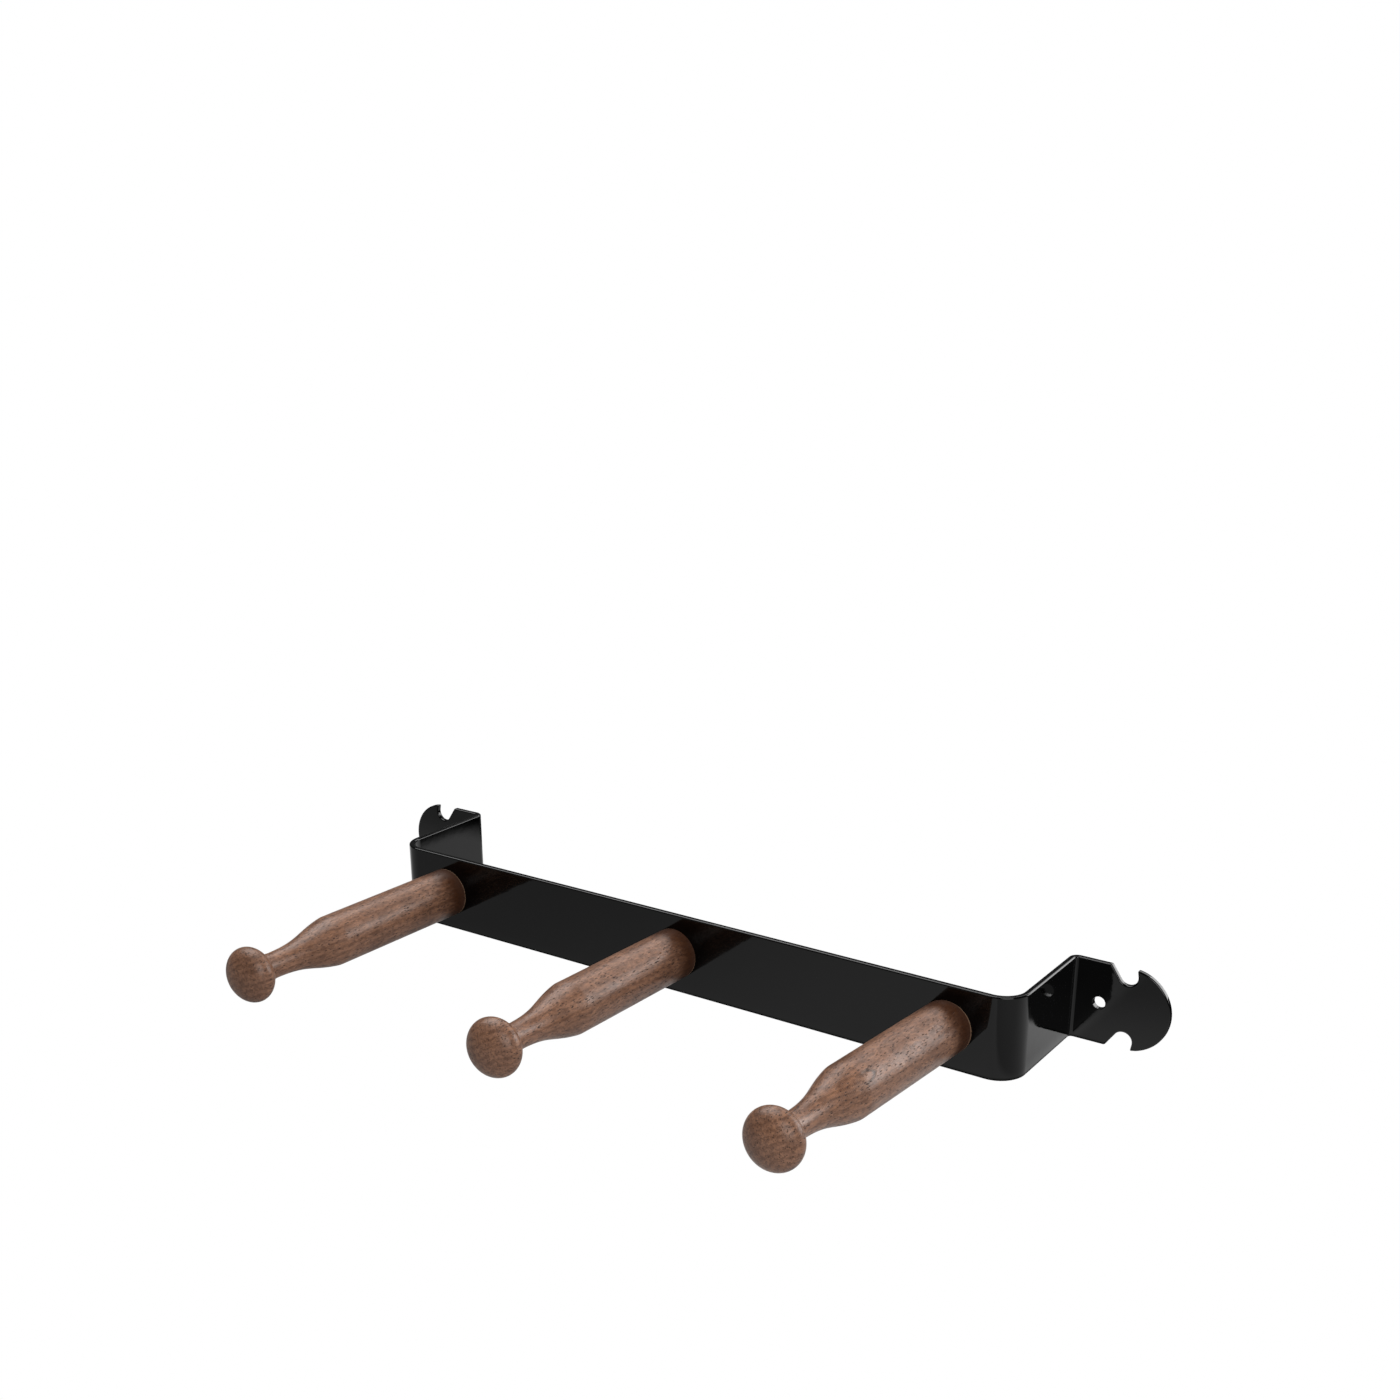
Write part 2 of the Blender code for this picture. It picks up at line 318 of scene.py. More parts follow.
def bent_strip(sizes):
    """The bar bent to shape, over-tall and over-long: its section drawn out and spun round."""
    half_width = sizes.width / 2
    spare = sizes.height / 4
    low_z = -sizes.height / 2 - spare
    front = -sizes.depth
    strip = start_point("bent_rail", (0, front, low_z))
    draw_line((0, sizes.thickness, 0))
    select_mesh()
    draw_line((0, 0, sizes.height + 2 * spare))
    select_mesh()
    bpy.ops.mesh.delete(type="ONLY_FACE")
    select_mesh()
    draw_line((half_width - sizes.front_bend, 0, 0))
    draw_arc((half_width - sizes.front_bend, front + sizes.front_bend, 0), (0, 0, 1), 90, 40)
    wall_y = -sizes.thickness - sizes.wall_bend
    draw_line((0, wall_y - front - sizes.front_bend, 0))
    draw_arc((half_width + sizes.wall_bend, wall_y, 0), (0, 0, 1), -90, 20)
    draw_line((sizes.end_x + sizes.height - half_width, 0, 0))
    bpy.ops.mesh.edge_face_add()
    set_mode("OBJECT")
    apply_modifier(strip, "MIRROR", use_axis=(True, False, False), merge_threshold=TOUCH)
    set_mode("EDIT")
    weld()
    bpy.ops.mesh.normals_make_consistent(inside=False)
    set_mode("OBJECT")
    return strip


def polar(centre, radius, degrees):
    """A point on a circle in the bar's front view."""
    turn = math.radians(degrees)
    return centre[0] + radius * math.cos(turn), centre[1] + radius * math.sin(turn)


def direction(centre, point):
    """Direction from centre to point in the front view, in degrees."""
    return math.degrees(math.atan2(point[1] - centre[1], point[0] - centre[0]))


def touching(centre, radius, point, side):
    """Direction of the place where a line from a point touches a circle, on the given side."""
    reach = math.hypot(point[0] - centre[0], point[1] - centre[1])
    return direction(centre, point) + side * math.degrees(math.acos(radius / reach))


class Pen:
    """Follows the end of a line drawn in the bar's front view."""

    def __init__(self, x, z):
        self.x = x
        self.z = z

    def line(self, point):
        """Draw straight to a point."""
        draw_line((point[0] - self.x, 0, point[1] - self.z))
        self.x, self.z = point

    def arc(self, centre, degrees, steps, y):
        """Draw round a centre, anticlockwise as seen from the front."""
        draw_arc((centre[0], y, centre[1]), (0, 1, 0), -degrees, steps)
        radius = math.hypot(self.x - centre[0], self.z - centre[1])
        self.x, self.z = polar(centre, radius, direction(centre, (self.x, self.z)) + degrees)


def front_outline(sizes):
    """The bar's front outline with its round, notched ends, drawn out to a solid cutter."""
    near = -sizes.depth - sizes.height / 4
    top = sizes.height / 2
    end = (sizes.end_x, 0)
    notch = (sizes.notch_x, sizes.notch_z)
    low_notch = (sizes.notch_x, -sizes.notch_z)
    corner = (sizes.notch_corner, top)
    tip = (sizes.tip_x, math.sqrt(top ** 2 - (sizes.tip_x - sizes.end_x) ** 2))
    first = touching(notch, sizes.notch_radius, corner, 1)
    last = touching(notch, sizes.notch_radius, tip, -1) + 360
    outline = start_point("rail_outline", (0, near, top))
    pen = Pen(0, top)
    pen.line(corner)
    pen.line(polar(notch, sizes.notch_radius, first))
    pen.arc(notch, last - first, 30, near)
    pen.line(tip)
    turn = direction(end, tip) - TIP_EDGE
    pen.line(polar(end, top, turn))
    pen.arc(end, -2 * turn, 64, near)
    pen.line((tip[0], -tip[1]))
    pen.line(polar(low_notch, sizes.notch_radius, -last))
    pen.arc(low_notch, last - first, 30, near)
    pen.line((corner[0], -corner[1]))
    pen.line((0, -top))
    set_mode("OBJECT")
    apply_modifier(outline, "MIRROR", use_axis=(True, False, False), merge_threshold=TOUCH)
    set_mode("EDIT")
    weld()
    bpy.ops.mesh.edge_face_add()
    draw_line((0, sizes.depth + sizes.height / 2, 0))
    select_mesh()
    bpy.ops.mesh.normals_make_consistent(inside=False)
    set_mode("OBJECT")
    return outline


def drill(piece, radius, x, near_y, far_y, sides=64):
    """Drill a round hole along Y at mid-height."""
    start = Vector((x, near_y - 0.01, 0))
    end = Vector((x, far_y + 0.01, 0))
    cut(piece, cylinder("drill", radius, start, end, sides))


def soften_rims(piece, radius, x, near_y, far_y, rounding):
    """Round the two rims of one drilled hole, and nothing else that is still selected."""
    mesh = piece.data
    for group in (mesh.vertices, mesh.edges, mesh.polygons):
        group.foreach_set("select", [False] * len(group))
    for edge in mesh.edges:
        first = mesh.vertices[edge.vertices[0]].co
        second = mesh.vertices[edge.vertices[1]].co
        on_rim = abs(first.y - second.y) < TOUCH
        for point in (first, second):
            at_face = min(abs(point.y - near_y), abs(point.y - far_y)) < TOUCH
            on_rim = on_rim and at_face and abs(math.hypot(point.x - x, point.z) - radius) < TOUCH
        edge.select = on_rim
    bpy.context.tool_settings.mesh_select_mode = (False, True, False)
    set_mode("EDIT")
    bpy.ops.mesh.bevel(offset=rounding, segments=3, affect="EDGES")
    set_mode("OBJECT")
    bpy.context.tool_settings.mesh_select_mode = (True, False, False)


def round_edges(piece, width, segments, degrees):
    """Round every edge where two faces meet at more than an angle."""
    apply_modifier(piece, "BEVEL", width=width, segments=segments, limit_method="ANGLE",
                   angle_limit=math.radians(degrees), use_clamp_overlap=False)


def model_rail():
    """One flat bar, bent, profiled at both ends, rounded along its edges and drilled."""
    sizes = settings("rail_sizes")
    rail = bent_strip(sizes)
    cut(rail, front_outline(sizes), "INTERSECT")
    round_edges(rail, sizes.rounding, 4, 32)
    front = -sizes.depth
    holes = [(sizes.wall_hole_radius, sign * sizes.wall_hole_x, -sizes.thickness) for sign in (-1, 1)]
    holes += [(sizes.peg_hole_radius, centre_x("screw_" + side), front) for side in SIDES]
    for radius, x, near_y in holes:
        drill(rail, radius, x, near_y, near_y + sizes.thickness)
        soften_rims(rail, radius, x, near_y, near_y + sizes.thickness, sizes.hole_rounding)
    shade(rail, 60)
    apply_modifier(rail, "WEIGHTED_NORMAL", keep_sharp=True, mode="FACE_AREA", weight=100)
    dress(rail, paint_material(), "rail")


# Pegs -----------------------------------------------------

def taper_points(sizes, steps=20):
    """From the shoulder to the neck, a cubic curve that leaves the shoulder at a slant."""
    fall = sizes.radius - sizes.neck_radius
    run = sizes.neck_start - sizes.shoulder
    start = Vector((sizes.radius, sizes.shoulder))
    start_handle = Vector((sizes.radius - 0.36 * fall, sizes.shoulder + 0.41 * run))
    end_handle = Vector((sizes.neck_radius, sizes.neck_start - 0.53 * run))
    end = Vector((sizes.neck_radius, sizes.neck_start))
    points = []
    close_to_shoulder = [0.01, 0.02]
    for t in close_to_shoulder + [i / steps for i in range(1, steps + 1)]:
        points.append((1 - t) ** 3 * start + 3 * (1 - t) ** 2 * t * start_handle
                      + 3 * (1 - t) * t ** 2 * end_handle + t ** 3 * end)
    return points


def knob_points(sizes, back_steps=12, dome_steps=18):
    """The knob from its collar to its tip: a short elliptical back and a domed front."""
    back_angle = math.acos(sizes.collar / sizes.knob_radius)
    points = []
    for i in range(back_steps):
        turn = back_angle * (1 - i / back_steps)
        points.append(Vector((sizes.knob_radius * math.cos(turn),
                              sizes.knob_widest - sizes.knob_back * math.sin(turn))))
    for i in range(dome_steps + 1):
        turn = math.pi / 2 * i / dome_steps
        points.append(Vector((sizes.knob_radius * math.cos(turn),
                              sizes.knob_widest + (sizes.length - sizes.knob_widest) * math.sin(turn))))
    points[-1] = Vector((0, sizes.length))
    return points


def turn_outline(name, points, sides, closed=False):
    """Draw an outline of (radius, height) points and spin it about local Z."""
    first = points[0]
    piece = start_point(name, (first[0], 0, first[1]))
    here = first
    for point in points[1:]:
        draw_line((point[0] - here[0], 0, point[1] - here[1]))
        here = point
    select_mesh()
    if closed:
        bpy.ops.mesh.select_all(action="DESELECT")
        set_mode("OBJECT")
        piece.data.vertices[0].select = True
        piece.data.vertices[len(piece.data.vertices) - 1].select = True
        set_mode("EDIT")
        bpy.ops.mesh.edge_face_add()
        select_mesh()
    bpy.ops.mesh.spin(steps=sides, angle=math.tau, center=(0, 0, 0), axis=(0, 0, 1))
    weld()
    bpy.ops.mesh.normals_make_consistent(inside=False)
    set_mode("OBJECT")
    return piece


def cut_flat(piece, y):
    """Cut a piece off flat at a plane across Y, keep its side away from the wall, close the cut."""
    select_only(piece)
    set_mode("EDIT")
    select_mesh()
    bpy.ops.mesh.bisect(plane_co=(0, y, 0), plane_no=(0, 1, 0), use_fill=True, clear_outer=True)
    set_mode("OBJECT")


def keep_grain(piece, matrix, offset):
    """Store each point's place in the wood, so that the grain follows the leaning peg."""
    back = matrix.inverted()
    grain = piece.data.attributes.new("grain", "FLOAT_VECTOR", "POINT")
    for vertex, value in zip(piece.data.vertices, grain.data):
        value.vector = back @ vertex.co + offset


def model_pegs():
    """Three turned pegs, cut flat at the rail and bored for their inserts."""
    sizes = settings("peg_sizes")
    shoulder = sizes.shoulder
    outline = [Vector((0, -0.003)), Vector((sizes.radius, -0.003))]
    outline += [Vector((sizes.radius, shoulder * i / 12)) for i in range(12)]
    outline.append(Vector((sizes.radius, shoulder - 0.0008)))
    outline.append(Vector((sizes.radius - 0.00002, shoulder - 0.0002)))
    outline += taper_points(sizes)
    outline += knob_points(sizes)
    blank = turn_outline("peg_blank", outline[::-1], 112)
    wood = wood_material()
    front = -settings("rail_sizes").depth
    for index, side in enumerate(SIDES):
        x = centre_x("screw_" + side)
        up, right = sizes.leans_up[index], sizes.leans_right[index]
        axis = Vector((math.sin(right) * math.cos(up), -math.cos(right) * math.cos(up), math.sin(up)))
        matrix = Matrix.Translation((x, front, 0)) @ axis.to_track_quat("Z", "Y").to_matrix().to_4x4()
        peg = placed_copy(blank, "turned_peg_" + side, matrix)
        cut_flat(peg, front - 0.00003)
        bore_start = Vector((x, front - sizes.bore_depth, 0))
        cut(peg, cylinder("bore", sizes.bore_radius, bore_start, Vector((x, front + 0.003, 0)), 48))
        keep_grain(peg, matrix, Vector((0.0, 0.0, GRAIN_STEP * index)))
        shade(peg, 28)
        dress(peg, wood, "peg_" + side)
    bpy.data.objects.remove(blank, do_unlink=True)


# Screws, washers and inserts ------------------------------

def along_rail(x, y):
    """A place on the rail's centre line, with local +Z towards the wall."""
    return Matrix.Translation((x, y, 0)) @ Matrix.Rotation(-math.pi / 2, 4, "X")


def thread(radius, depth, pitch, low, high):
    """Points of a thread's ridges, from the low end to the high end."""
    points = []
    turns = int((high - low) / pitch)
    for i in range(turns):
        bottom = low + i * pitch
        points.append((radius - depth, bottom))
        points.append((radius - depth, bottom + 0.15 * pitch))
        points.append((radius, bottom + 0.50 * pitch))
        points.append((radius, bottom + 0.60 * pitch))
    points.append((radius - depth, low + turns * pitch))
    return points


def place_copies(blank, node, material, y):
    """Put a copy of a turned blank behind each peg."""
    for side in SIDES:
        matrix = along_rail(centre_x(node + "_" + side), y)
        piece = placed_copy(blank, blank.name + "_" + side, matrix)
        shade(piece, 30)
        dress(piece, material, node + "_" + side)
    bpy.data.objects.remove(blank, do_unlink=True)


def model_screws():
    """Button-head screws with a hexagon socket and a thread."""
    sizes = settings("hardware_sizes")
    radius = sizes.screw_radius
    head = sizes.head_radius
    height = sizes.head_height
    length = SCREW_HIGH.y - SCREW_LOW.y - height
    outline = [(0, -length), (radius * 0.72, -length)]
    outline += thread(radius, 0.00042, 0.0008, -length + 0.0003, -0.0008)
    outline += [(radius, -0.0006), (radius, -0.0002), (radius + 0.0002, 0), (head - 0.0002, 0)]
    outline += [(head - 0.00006, 0.00006), (head, 0.0002), (head, 0.22 * height)]
    for i in range(1, 9):
        turn = math.pi / 2 * i / 9
        outline.append((head * (0.56 + 0.44 * math.cos(turn)), height * (0.22 + 0.78 * math.sin(turn))))
    outline += [(head * 0.56, height), (0, height)]
    blank = turn_outline("socket_screw", [Vector(point) for point in outline], 56)
    corner = sizes.socket_width / math.sqrt(3)
    cut(blank, cylinder("socket", corner, Vector((0, 0, height - sizes.socket_depth)),
                        Vector((0, 0, height + 0.002)), 6, "Z"))
    place_copies(blank, "screw", zinc_material(), SCREW_HIGH.y - height)


def model_washers():
    """Plain washers with pressed, softened edges."""
    sizes = settings("hardware_sizes")
    inner, outer = sizes.washer_hole, sizes.washer_radius
    thick = WASHER_HIGH.y - WASHER_LOW.y
    soft = 0.0002
    outline = [(inner + soft, 0), (outer - soft, 0), (outer - 0.3 * soft, 0.3 * soft), (outer, soft),
               (outer, thick - 2 * soft), (outer - 0.6 * soft, thick - 0.6 * soft),
               (outer - 2 * soft, thick), (inner + 2 * soft, thick),
               (inner + 0.6 * soft, thick - 0.6 * soft), (inner, thick - 2 * soft), (inner, soft)]
    blank = turn_outline("plain_washer", [Vector(point) for point in outline], 72, closed=True)
    place_copies(blank, "washer", zinc_material(), WASHER_LOW.y)


def model_inserts():
    """Threaded brass inserts, ribbed outside, set into the pegs."""
    sizes = settings("hardware_sizes")
    length = INSERT_HIGH.y - INSERT_LOW.y
    radius = (INSERT_HIGH.x - INSERT_LOW.x) / 2
    bore = sizes.washer_hole
    outline = [(bore, 0.0003), (bore + 0.0003, 0), (radius * 0.86, 0)]
    outline += thread(radius, 0.0007, 0.0021, 0.0005, length - 0.0012)
    outline += [(radius * 0.84, length - 0.0010), (radius, length - 0.0008), (radius, length),
                (bore + 0.0003, length), (bore, length - 0.0003)]
    blank = turn_outline("brass_insert", [Vector(point) for point in outline], 48, closed=True)
    place_copies(blank, "insert", brass_material(), INSERT_LOW.y)


# Finishes -------------------------------------------------

class Tree:
    """A node tree being built, with short ways to add and join its nodes."""

    def __init__(self, tree):
        self.tree = tree

    def add(self, kind, inputs=(), **values):
        """Add a node, set its properties, then fill or join its inputs."""
        node = self.tree.nodes.new(kind)
        for key, value in values.items():
            setattr(node, key, value)
        for key, value in dict(inputs).items():
            if isinstance(value, bpy.types.NodeSocket):
                self.tree.links.new(value, node.inputs[key])
            else:
                node.inputs[key].default_value = value
        return node

    def math(self, operation, first, second=0.0, clamp=False):
        """The result of an operation on two values."""
        return self.add("ShaderNodeMath", {0: first, 1: second}, operation=operation,
                        use_clamp=clamp).outputs[0]

    def spread(self, value, low, high, to_low=0.0, to_high=1.0, smooth=True):
        """Map a value between two others."""
        node = self.add("ShaderNodeMapRange", {"Value": value, "From Min": low, "From Max": high,
                                               "To Min": to_low, "To Max": to_high},
                        interpolation_type="SMOOTHSTEP" if smooth else "LINEAR")
        return node.outputs[0]

    def times(self, first, second):
        """A product of two values."""
        return self.math("MULTIPLY", first, second)

    def dimmed(self, value, mask, share):
        """A value, lowered by a share where a mask is set."""
        return self.times(value, self.math("SUBTRACT", 1.0, self.times(mask, share)))

    def stretched(self, vector, scale):
        """Scale a vector, more along some axes than others."""
        return self.add("ShaderNodeMapping", {"Vector": vector, "Scale": scale}).outputs[0]

    def noise(self, vector, scale, detail=3.0, roughness=0.5):
        """Soft noise from 0 to 1."""
        return self.add("ShaderNodeTexNoise", {"Vector": vector, "Scale": scale, "Detail": detail,
                                               "Roughness": roughness}).outputs[0]

    def mix(self, factor, first, second):
        """Mix two colours, each a socket or three values."""
        first, second = [colour if isinstance(colour, bpy.types.NodeSocket) else (*colour, 1.0)
                         for colour in (first, second)]
        node = self.add("ShaderNodeMix", {0: factor, 6: first, 7: second}, data_type="RGBA")
        return node.outputs[2]

    def object_place(self):
        """Object coordinates."""
        return self.add("ShaderNodeTexCoord").outputs["Object"]

    def attribute(self, name):
        """A vector stored on the mesh."""
        return self.add("ShaderNodeAttribute", attribute_name=name).outputs["Vector"]

    def group(self, tree, inputs):
        """Place a shared group."""
        return self.add("ShaderNodeGroup", inputs, node_tree=tree)


def new_group(name, inputs, outputs):
    """A shared shader group and its tree to fill, or the group already made and no tree."""
    made = bpy.data.node_groups.get(name)
    if made:
        return made, None
    made = bpy.data.node_groups.new(name, "ShaderNodeTree")
    for label, kind in inputs:
        made.interface.new_socket(label, in_out="INPUT", socket_type=kind)
    for label, kind in outputs:
        made.interface.new_socket(label, in_out="OUTPUT", socket_type=kind)
    return made, Tree(made)


def uneven_gloss():
    """Roughness that wanders between two values, with faint rub marks."""
    made, tree = new_group("Uneven Gloss",
                           (("Vector", "NodeSocketVector"), ("Scale", "NodeSocketFloat"),
                            ("Low", "NodeSocketFloat"), ("High", "NodeSocketFloat")),
                           (("Roughness", "NodeSocketFloat"),))
    if tree:
        given = tree.add("NodeGroupInput").outputs
        cloud = tree.noise(given["Vector"], given["Scale"], 4.0, 0.6)
        share = tree.spread(cloud, 0.3, 0.7)
        span = tree.math("SUBTRACT", given["High"], given["Low"])
        rough = tree.math("ADD", given["Low"], tree.times(span, share))
        tree.add("NodeGroupOutput", {"Roughness": rough})
    return made


def fine_specks():
    """Sparse small specks of dust."""
    made, tree = new_group("Fine Specks",
                           (("Vector", "NodeSocketVector"), ("Scale", "NodeSocketFloat"),
                            ("Amount", "NodeSocketFloat")),
                           (("Mask", "NodeSocketFloat"),))
    if tree:
        given = tree.add("NodeGroupInput").outputs
        cells = tree.add("ShaderNodeTexVoronoi", {"Vector": given["Vector"], "Scale": given["Scale"]})
        size = tree.times(tree.noise(given["Vector"], 60.0, 2.0), 0.14)
        dot = tree.math("LESS_THAN", cells.outputs["Distance"], size)
        chance = tree.add("ShaderNodeSeparateColor", {"Color": cells.outputs["Color"]}).outputs[0]
        kept = tree.math("LESS_THAN", chance, given["Amount"])
        tree.add("NodeGroupOutput", {"Mask": tree.times(dot, kept)})
    return made


def new_material(name):
    """A new material, its node tree and its Principled shader."""
    made = bpy.data.materials.new(name)
    made.use_nodes = True
    shader = made.node_tree.nodes["Principled BSDF"]
    return made, Tree(made.node_tree), shader


def join(tree, socket, target):
    """Join an output to a shader's input."""
    tree.tree.links.new(socket, target)


def paint_material():
    """Gloss black paint with faint orange peel, a little dust and softened sheen."""
    finish = settings("finishes")
    made, tree, shader = new_material("gloss_black_paint")
    place = tree.object_place()
    specks = tree.group(fine_specks(), {"Vector": place, "Scale": 900.0, "Amount": 0.05})
    gloss = tree.group(uneven_gloss(), {"Vector": place, "Scale": 38.0,
                                        "Low": finish.paint_roughness,
                                        "High": finish.paint_roughness + 0.05})
    tone = tree.spread(tree.noise(place, 26.0, 3.0), 0.35, 0.65)
    dark = tuple(0.75 * part for part in finish.paint)
    colour = tree.mix(tone, dark, tuple(finish.paint))
    colour = tree.mix(tree.times(specks.outputs["Mask"], 0.35), colour,
                      tuple(finish.dust))
    join(tree, colour, shader.inputs["Base Color"])
    rough = tree.math("ADD", gloss.outputs["Roughness"],
                      tree.times(specks.outputs["Mask"], 0.3), clamp=True)
    join(tree, rough, shader.inputs["Roughness"])
    shader.inputs["IOR"].default_value = 1.4
    peel = tree.noise(place, 240.0, 2.0, 0.4)
    fine = tree.noise(place, 900.0, 2.0, 0.5)
    height = tree.math("ADD", peel, tree.times(fine, 0.18))
    bump = tree.add("ShaderNodeBump", {"Height": height, "Strength": 0.35, "Distance": 0.00006})
    join(tree, bump.outputs[0], shader.inputs["Normal"])
    return made


def wood_rings(tree, grain, parts):
    """Late wood, from 0 to 1, in rings round a pith that lies outside the peg."""
    pith = (0.021, -0.034, 0.0)
    rings_per_metre = 330.0
    drift = tree.noise(tree.stretched(grain, (40, 40, 7)), 1.0, 3.0, 0.5)
    wander = tree.noise(tree.stretched(grain, (220, 220, 16)), 1.0, 3.0, 0.55)
    across = tree.add("ShaderNodeCombineXYZ", {"X": parts["X"], "Y": parts["Y"]}).outputs[0]
    reach = tree.add("ShaderNodeVectorMath", {0: across, 1: pith},
                     operation="DISTANCE").outputs["Value"]
    rings = tree.math("ADD", tree.times(reach, rings_per_metre),
                      tree.times(drift, 3.2))
    rings = tree.math("ADD", rings, tree.times(wander, 0.7))
    saw = tree.math("FRACT", rings)
    return tree.times(tree.spread(saw, 0.25, 0.92), tree.spread(saw, 1.0, 0.93))


def wood_pores(tree, grain):
    """Open pores along the grain, each of its own width."""
    cells = tree.add("ShaderNodeTexVoronoi", {"Vector": tree.stretched(grain, (1650, 1650, 380)),
                                              "Scale": 1.0})
    chance = tree.add("ShaderNodeSeparateColor", {"Color": cells.outputs["Color"]}).outputs[0]
    width = tree.spread(chance, 0.22, 1.0, 0.0, 0.40, smooth=False)
    return tree.spread(tree.math("SUBTRACT", width, cells.outputs["Distance"]), -0.04, 0.06)


def wood_knot(tree, grain, streak):
    """Masks of a small knot's dark ring, strongest on one side, and of its pale heart."""
    knot = tuple(settings("peg_sizes").knot)
    offset = tree.add("ShaderNodeVectorMath", {0: grain, 1: knot}, operation="SUBTRACT").outputs[0]
    along = tree.add("ShaderNodeSeparateXYZ", {"Vector": offset}).outputs["Z"]
    reach = tree.add("ShaderNodeVectorMath", {0: tree.stretched(offset, (1, 1, 0.38))},
                     operation="LENGTH").outputs["Value"]
    reach = tree.math("ADD", reach, tree.times(tree.math("SUBTRACT", streak, 0.5), 0.0022))
    ring = tree.times(tree.spread(reach, 0.0014, 0.0020), tree.spread(reach, 0.0030, 0.0021))
    ring = tree.times(ring, tree.spread(along, 0.0025, -0.001, 0.25, 1.0))
    return ring, tree.spread(reach, 0.0017, 0.0007, 0.0, 0.35)


def wood_material():
    """Dark, oiled open-pored wood: rings, fibres, streaks, pores, a small knot, and painted shade at
    each peg's foot.
    """
    finish = settings("finishes")
    light, dark = tuple(finish.wood_light), tuple(finish.wood_dark)
    fleck, pore = tuple(finish.wood_fleck), tuple(finish.wood_pore)
    made, tree, shader = new_material("dark_turned_wood")
    grain = tree.attribute("grain")
    parts = tree.add("ShaderNodeSeparateXYZ", {"Vector": grain}).outputs
    late = wood_rings(tree, grain, parts)
    fibre = tree.noise(tree.stretched(grain, (930, 930, 300)), 1.0, 4.0, 0.8)
    streak = tree.noise(tree.stretched(grain, (600, 600, 45)), 1.0, 4.0, 0.6)
    blotch = tree.noise(grain, 85.0, 4.0, 0.6)
    pores = wood_pores(tree, grain)
    knot_ring, knot_heart = wood_knot(tree, grain, streak)

    warm = tree.mix(tree.spread(late, 0.0, 1.0, 0.0, 0.50), light, dark)
    warm = tree.mix(tree.spread(streak, 0.36, 0.66, 0.0, 0.30), warm, dark)
    warm = tree.mix(tree.spread(fibre, 0.48, 0.62, 0.0, 0.85), warm, fleck)
    warm = tree.mix(tree.spread(fibre, 0.47, 0.35, 0.0, 0.80), warm, dark)
    warm = tree.mix(tree.spread(blotch, 0.40, 0.64, 0.0, 0.38), warm, dark)
    warm = tree.mix(tree.times(pores, 0.90), warm, pore)
    warm = tree.mix(tree.times(knot_ring, 0.75), warm, pore)
    warm = tree.mix(knot_heart, warm, fleck)

    foot = tree.math("FRACT", tree.math("DIVIDE", parts["Z"], GRAIN_STEP))
    foot = tree.times(foot, GRAIN_STEP)
    ragged = tree.math("ADD", foot, tree.times(tree.math("SUBTRACT", fibre, 0.5), 0.0120))
    # painted shade: each peg darkened towards its foot, in a ragged band up to about 20 mm from the
    # rail
    painted_foot_shade = tree.spread(ragged, 0.0205, 0.0050, 0.0, 0.94)
    warm = tree.mix(painted_foot_shade, warm, tuple(finish.wood_foot_shade))
    rim = tree.spread(foot, 0.0008, 0.0004, 0.0, 0.7)
    warm = tree.mix(rim, warm, tuple(finish.wood_rim))
    join(tree, warm, shader.inputs["Base Color"])

    gloss = tree.group(uneven_gloss(), {"Vector": grain, "Scale": 90.0,
                                        "Low": finish.wood_roughness,
                                        "High": finish.wood_roughness + 0.12})
    rough = tree.math("ADD", gloss.outputs["Roughness"], tree.times(pores, 0.25))
    rough = tree.math("ADD", rough, tree.spread(ragged, 0.006, 0.0010, 0.0, 0.3), clamp=True)
    join(tree, rough, shader.inputs["Roughness"])
    shader.inputs["IOR"].default_value = 1.4

    turning_marks = 7400.0
    height = tree.math("SUBTRACT", tree.times(fibre, 0.35), tree.times(pores, 0.9))
    height = tree.math("ADD", height, tree.times(streak, 0.3))
    turning = tree.math("SINE", tree.times(foot, turning_marks))
    height = tree.math("ADD", height, tree.times(turning, 0.06))
    height = tree.math("SUBTRACT", height, tree.times(knot_ring, 0.8))
    bump = tree.add("ShaderNodeBump", {"Height": height, "Strength": 0.8, "Distance": 0.00018})
    join(tree, bump.outputs[0], shader.inputs["Normal"])
    return made


def metal_material(name, colour, dull, roughness):
    """A bare or plated metal with turning lines, tarnish and specks."""
    made, tree, shader = new_material(name)
    place = tree.object_place()
    tarnish = tree.spread(tree.noise(place, 420.0, 4.0, 0.6), 0.42, 0.7)
    specks = tree.group(fine_specks(), {"Vector": place, "Scale": 1600.0, "Amount": 0.12})
    shade_off = tree.math("MAXIMUM", tree.times(tarnish, 0.5),
                          tree.times(specks.outputs["Mask"], 0.6))
    join(tree, tree.mix(shade_off, tuple(colour), tuple(dull)), shader.inputs["Base Color"])
    gloss = tree.group(uneven_gloss(), {"Vector": place, "Scale": 300.0, "Low": roughness,
                                        "High": roughness + 0.16})
    join(tree, gloss.outputs["Roughness"], shader.inputs["Roughness"])
    shader.inputs["Metallic"].default_value = 1.0
    lines = tree.noise(tree.stretched(place, (260, 5200, 260)), 1.0, 2.0)
    bump = tree.add("ShaderNodeBump", {"Height": lines, "Strength": 0.4, "Distance": 0.00003})
    join(tree, bump.outputs[0], shader.inputs["Normal"])
    return made


def zinc_material():
    """Bright zinc plating."""
    finish = settings("finishes")
    made = bpy.data.materials.get("bright_zinc")
    return made or metal_material("bright_zinc", finish.zinc, finish.zinc_dull, 0.24)


def brass_material():
    """Machined brass."""
    finish = settings("finishes")
    return metal_material("machined_brass", finish.brass, finish.brass_dull, 0.26)


# Stage ----------------------------------------------------

